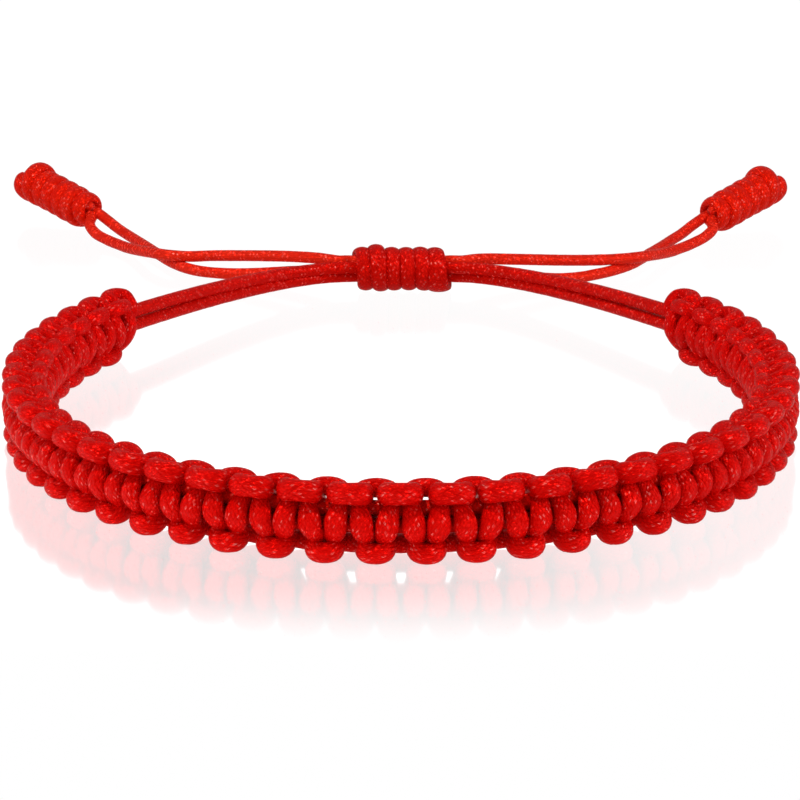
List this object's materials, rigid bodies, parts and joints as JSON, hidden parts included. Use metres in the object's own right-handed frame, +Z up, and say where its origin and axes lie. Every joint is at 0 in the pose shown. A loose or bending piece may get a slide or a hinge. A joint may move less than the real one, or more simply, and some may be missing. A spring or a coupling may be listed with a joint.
{
  "type": "string bracelet",
  "caption": "Flat square-knot string bracelet with a wrapped slide knot at the back, and tails that end in barrel knots.",
  "frame": {"origin": "bottom centre of the box round the band, the core cords and the slide knot, on the surface that the bracelet lies on", "axes": "+Z up, along the axis of the wrist hole, +Y from the front of the band to the slide knot at the back, and +X to the right as seen from the front"},
  "size_m": [0.0849, 0.113, 0.0058],
  "materials": {
    "knotting_cord": "red braided nylon cord with a satin sheen, drawn flat where it crosses the band",
    "core_cord": "red braided nylon cord, thinner, with a satin sheen",
    "wrapping_cord": "red braided nylon cord wound tight in knots, with a satin sheen"
  },
  "bodies": {
    "root": {"knotting_cord_front": "knotting_cord", "knotting_cord_back": "knotting_cord", "core_cord_upper": "core_cord", "core_cord_lower": "core_cord", "slide_knot": "wrapping_cord", "tail_left_upper": "core_cord", "tail_left_lower": "core_cord", "tail_right_upper": "core_cord", "tail_right_lower": "core_cord", "end_knot_left": "wrapping_cord", "end_knot_right": "wrapping_cord"}
  },
  "joints": []
}
